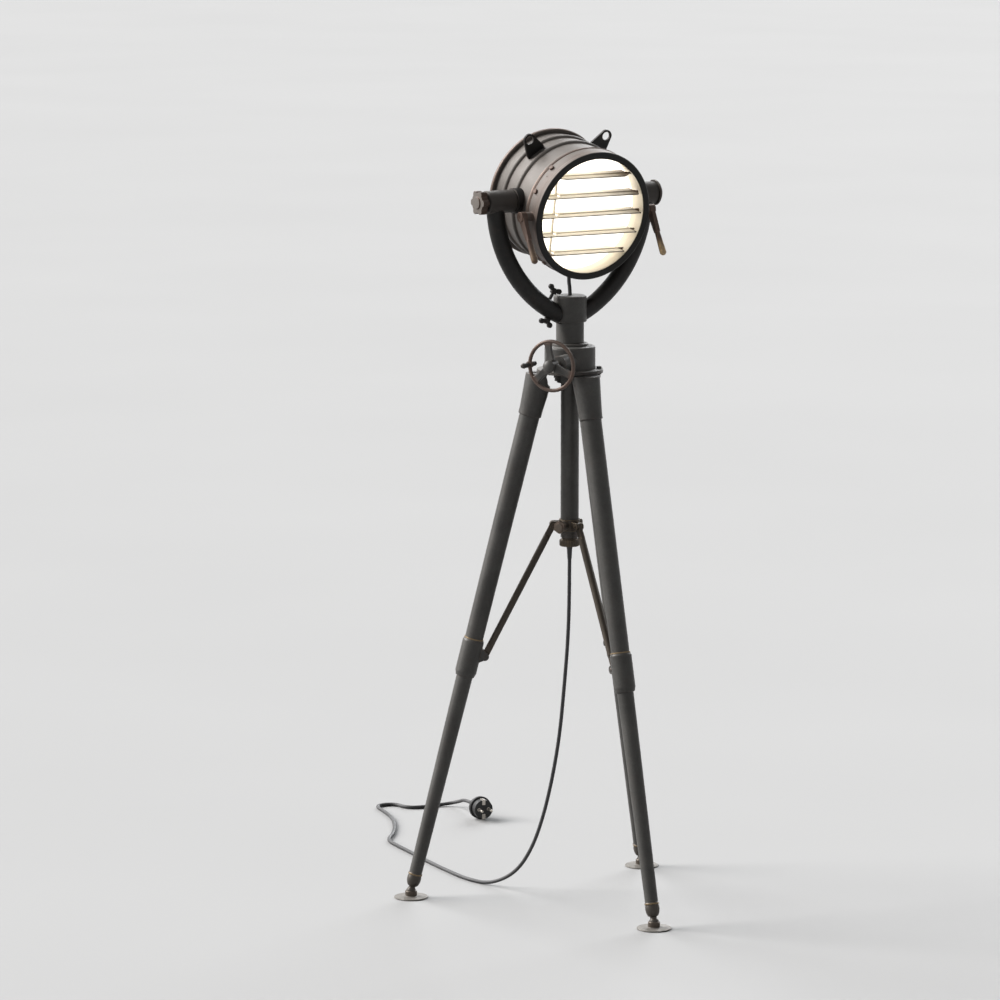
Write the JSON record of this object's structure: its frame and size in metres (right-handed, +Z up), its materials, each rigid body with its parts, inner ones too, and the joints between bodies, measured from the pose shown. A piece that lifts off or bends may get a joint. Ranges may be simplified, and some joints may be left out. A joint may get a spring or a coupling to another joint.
{
  "type": "searchlight floor lamp",
  "caption": "Searchlight floor lamp: drum head with louvred shutter tilting in a curved yoke, on a wind-up mast with handwheel over a folding tripod with pad feet and floor cord.",
  "frame": {"origin": "floor point under the column, midway between the pads", "axes": "+Z up along the column, head faces -Y, +X to the head's left"},
  "size_m": [0.545, 1.1336, 1.3622],
  "materials": {
    "graphite": "satin dark graphite paint, rubbed at the edges",
    "leg_paint": "satin dark graphite paint",
    "black_metal": "satin black paint",
    "bronzed": "darkened bronze, worn",
    "bright_steel": "worn bright steel",
    "bush_brass": "dull brass",
    "ivory": "satin ivory enamel",
    "reflector": "polished",
    "opal_glass": "opal white",
    "holder": "dark",
    "cord_rubber": "matt black"
  },
  "bodies": {
    "stand": {"hub_plate": "graphite", "gear_housing": "graphite", "guide_tube": "graphite", "mast_bush": "bush_brass", "bottom_cap": "graphite", "hub_bolts": "bronzed", "shaft_bush": "bush_brass", "power_cord": "cord_rubber", "plug": "cord_rubber", "plug_pins": "bright_steel"},
    "leg_a": {"leg_socket_a": "leg_paint", "leg_upper_a": "leg_paint", "leg_collar_a": "leg_paint", "leg_lower_a": "leg_paint"},
    "pad_a": {"foot_a": "bright_steel"},
    "leg_b": {"leg_socket_b": "leg_paint", "leg_upper_b": "leg_paint", "leg_collar_b": "leg_paint", "leg_lower_b": "leg_paint"},
    "pad_b": {"foot_b": "bright_steel"},
    "leg_c": {"leg_socket_c": "leg_paint", "leg_upper_c": "leg_paint", "leg_collar_c": "leg_paint", "leg_lower_c": "leg_paint"},
    "pad_c": {"foot_c": "bright_steel"},
    "spreader": {"spreader_hub": "bronzed"},
    "brace_a": {"strut_a": "bronzed"},
    "brace_b": {"strut_b": "bronzed"},
    "brace_c": {"strut_c": "bronzed"},
    "clamp": {"clamp_screw": "bronzed"},
    "mast": {"mast": "bright_steel"},
    "wheel": {"pinion_shaft": "bronzed", "handwheel": "bronzed"},
    "grip": {"crank_grip": "bronzed"},
    "yoke": {"tee": "graphite", "yoke_arm_left": "black_metal", "yoke_arm_right": "black_metal", "pivot_cap": "black_metal", "head_lead": "cord_rubber"},
    "wing_upper": {"wing_screw_upper": "black_metal"},
    "wing_lower": {"wing_screw_lower": "black_metal"},
    "head": {"drum_shell": "graphite", "rear_cover": "graphite", "front_ring": "graphite", "ring_screws": "bronzed", "eye_lugs": "graphite", "trunnions": "black_metal", "reflector": "reflector", "lens": "opal_glass", "lamp_holder": "holder", "bulb": "opal_glass", "lead_gland": "black_metal"},
    "knob": {"star_knob": "black_metal"},
    "shutter": {"slat_3": "ivory", "shutter_levers": "bronzed"},
    "blade_1": {"slat_1": "ivory"},
    "blade_2": {"slat_2": "ivory"},
    "blade_4": {"slat_4": "ivory"},
    "blade_5": {"slat_5": "ivory"},
    "tie": {"tie_bar": "bright_steel"}
  },
  "joints": [
    {"name": "leg_b_fold", "type": "hinge", "parent": "stand", "child": "leg_b", "pos_m": [0, -0.056, 0.922], "axis": [1, 0, 0], "range_deg": [0, 11.5]},
    {"name": "leg_a_fold", "type": "hinge", "parent": "stand", "child": "leg_a", "pos_m": [-0.0485, 0.028, 0.922], "axis": [-0.5, -0.866, 0], "range_deg": [0, 11.5]},
    {"name": "leg_c_fold", "type": "hinge", "parent": "stand", "child": "leg_c", "pos_m": [0.0485, 0.028, 0.922], "axis": [-0.5, 0.866, 0], "range_deg": [0, 11.5]},
    {"name": "spreader_slide", "type": "slide", "parent": "stand", "child": "spreader", "axis": [0, 0, 1], "range_m": [0, 0.0195]},
    {"name": "brace_a_swing", "type": "hinge", "parent": "spreader", "child": "brace_a", "pos_m": [-0.02511, 0.0145, 0.67], "axis": [-0.5, -0.866, 0], "range_deg": [0, 22.6]},
    {"name": "brace_b_swing", "type": "hinge", "parent": "spreader", "child": "brace_b", "pos_m": [0, -0.029, 0.67], "axis": [1, 0, 0], "range_deg": [0, 22.6]},
    {"name": "brace_c_swing", "type": "hinge", "parent": "spreader", "child": "brace_c", "pos_m": [0.02511, 0.0145, 0.67], "axis": [-0.5, 0.866, 0], "range_deg": [0, 22.6]},
    {"name": "clamp_turn", "type": "hinge", "parent": "spreader", "child": "clamp", "pos_m": [-0.02598, -0.015, 0.67], "axis": [-0.866, -0.5, 0], "range_deg": [0, 180]},
    {"name": "pad_a_tip", "type": "hinge", "parent": "leg_a", "child": "pad_a", "pos_m": [-0.24249, 0.14, 0.012], "axis": [-0.5, -0.866, 0], "range_deg": [-15, 15]},
    {"name": "pad_b_tip", "type": "hinge", "parent": "leg_b", "child": "pad_b", "pos_m": [0, -0.28, 0.012], "axis": [1, 0, 0], "range_deg": [-15, 15]},
    {"name": "pad_c_tip", "type": "hinge", "parent": "leg_c", "child": "pad_c", "pos_m": [0.24249, 0.14, 0.012], "axis": [-0.5, 0.866, 0], "range_deg": [-15, 15]},
    {"name": "mast_lift", "type": "slide", "parent": "stand", "child": "mast", "axis": [0, 0, 1], "range_m": [0, 0.25]},
    {"name": "wheel_turn", "type": "hinge", "parent": "stand", "child": "wheel", "pos_m": [0.00875, -0.01516, 0.963], "axis": [0.866, 0.5, 0], "range_deg": [0, 1912]},
    {"name": "grip_spin", "type": "hinge", "parent": "wheel", "child": "grip", "pos_m": [-0.0992, -0.02818, 0.963], "axis": [-0.866, -0.5, 0], "continuous": true},
    {"name": "yoke_pan", "type": "hinge", "parent": "mast", "child": "yoke", "pos_m": [0, 0, 1.01], "axis": [0, 0, 1], "range_deg": [-170, 170]},
    {"name": "wing_upper_turn", "type": "hinge", "parent": "yoke", "child": "wing_upper", "pos_m": [-0.03913, 0, 1.07445], "axis": [0.5437, 0, 0.8393], "range_deg": [0, 180]},
    {"name": "wing_lower_turn", "type": "hinge", "parent": "yoke", "child": "wing_lower", "pos_m": [-0.0478, 0, 1.03298], "axis": [-0.4902, 0, -0.8716], "range_deg": [0, 180]},
    {"name": "head_tilt", "type": "hinge", "parent": "yoke", "child": "head", "pos_m": [0, 0, 1.246], "axis": [1, 0, 0], "range_deg": [-35, 30], "deforming": ["head_lead"]},
    {"name": "knob_turn", "type": "hinge", "parent": "head", "child": "knob", "pos_m": [-0.178, 0, 1.246], "axis": [-1, 0, 0], "range_deg": [0, 180]},
    {"name": "shutter_turn", "type": "hinge", "parent": "head", "child": "shutter", "pos_m": [0, -0.05478, 1.22349], "axis": [-1, 0, 0], "range_deg": [0, 75]},
    {"name": "blade_1_turn", "type": "hinge", "parent": "head", "child": "blade_1", "pos_m": [0, -0.04222, 1.15666], "axis": [-1, 0, 0], "range_deg": [0, 75]},
    {"name": "blade_2_turn", "type": "hinge", "parent": "head", "child": "blade_2", "pos_m": [0, -0.0485, 1.19007], "axis": [-1, 0, 0], "range_deg": [0, 75]},
    {"name": "blade_4_turn", "type": "hinge", "parent": "head", "child": "blade_4", "pos_m": [0, -0.06107, 1.2569], "axis": [-1, 0, 0], "range_deg": [0, 75]},
    {"name": "blade_5_turn", "type": "hinge", "parent": "head", "child": "blade_5", "pos_m": [0, -0.06735, 1.29032], "axis": [-1, 0, 0], "range_deg": [0, 75]},
    {"name": "tie_swing", "type": "hinge", "parent": "shutter", "child": "tie", "pos_m": [-0.062, -0.04496, 1.22534], "axis": [-1, 0, 0], "range_deg": [-75, 0]}
  ],
  "couplings": [
    {"joint": "leg_a_fold", "follows": "leg_b_fold", "ratio": 1},
    {"joint": "leg_c_fold", "follows": "leg_b_fold", "ratio": 1},
    {"joint": "spreader_slide", "follows": "leg_b_fold", "m_per_rad": 0.096058},
    {"joint": "brace_a_swing", "follows": "leg_b_fold", "ratio": 1.9548},
    {"joint": "brace_b_swing", "follows": "leg_b_fold", "ratio": 1.9548},
    {"joint": "brace_c_swing", "follows": "leg_b_fold", "ratio": 1.9548},
    {"joint": "wheel_turn", "follows": "mast_lift", "rad_per_m": 133.33},
    {"joint": "blade_1_turn", "follows": "shutter_turn", "ratio": 1},
    {"joint": "blade_2_turn", "follows": "shutter_turn", "ratio": 1},
    {"joint": "blade_4_turn", "follows": "shutter_turn", "ratio": 1},
    {"joint": "blade_5_turn", "follows": "shutter_turn", "ratio": 1},
    {"joint": "tie_swing", "follows": "shutter_turn", "ratio": -1}
  ]
}
